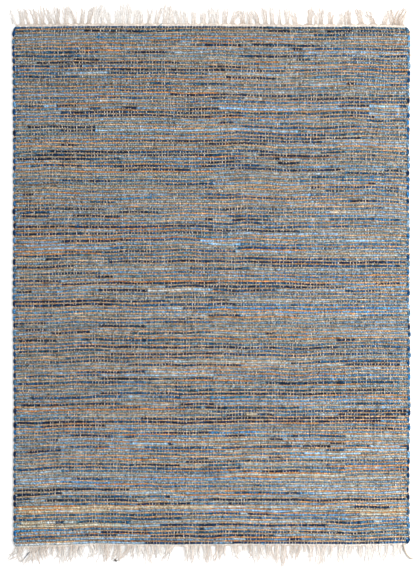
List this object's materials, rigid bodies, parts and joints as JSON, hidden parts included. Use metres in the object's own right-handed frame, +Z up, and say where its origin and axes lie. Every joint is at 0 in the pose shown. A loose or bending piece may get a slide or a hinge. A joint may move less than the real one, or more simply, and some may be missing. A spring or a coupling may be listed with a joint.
{
  "type": "rag rug",
  "caption": "Flat-woven rectangular rag rug of denim strips and jute in fine cross ribs, with a loose cotton fringe along both short ends.",
  "frame": {"origin": "middle of the whole footprint, fringes included, on the floor", "axes": "+X across the rug, +Y along its length to the far fringe, +Z up through its thickness"},
  "size_m": [1.541, 2.1234, 0.009],
  "materials": {
    "denim_weave": "matt flat weave, torn indigo and light blue denim strips in turn with tan jute yarn",
    "jute_yarn": "matt tan jute yarn, coarse and hairy, laid in turn with the denim strips",
    "cotton_warp": "matt undyed cream cotton yarn, loosely twisted"
  },
  "bodies": {
    "root": {"rug_field": "denim_weave", "fringe_far": "cotton_warp", "fringe_near": "cotton_warp"}
  },
  "joints": []
}
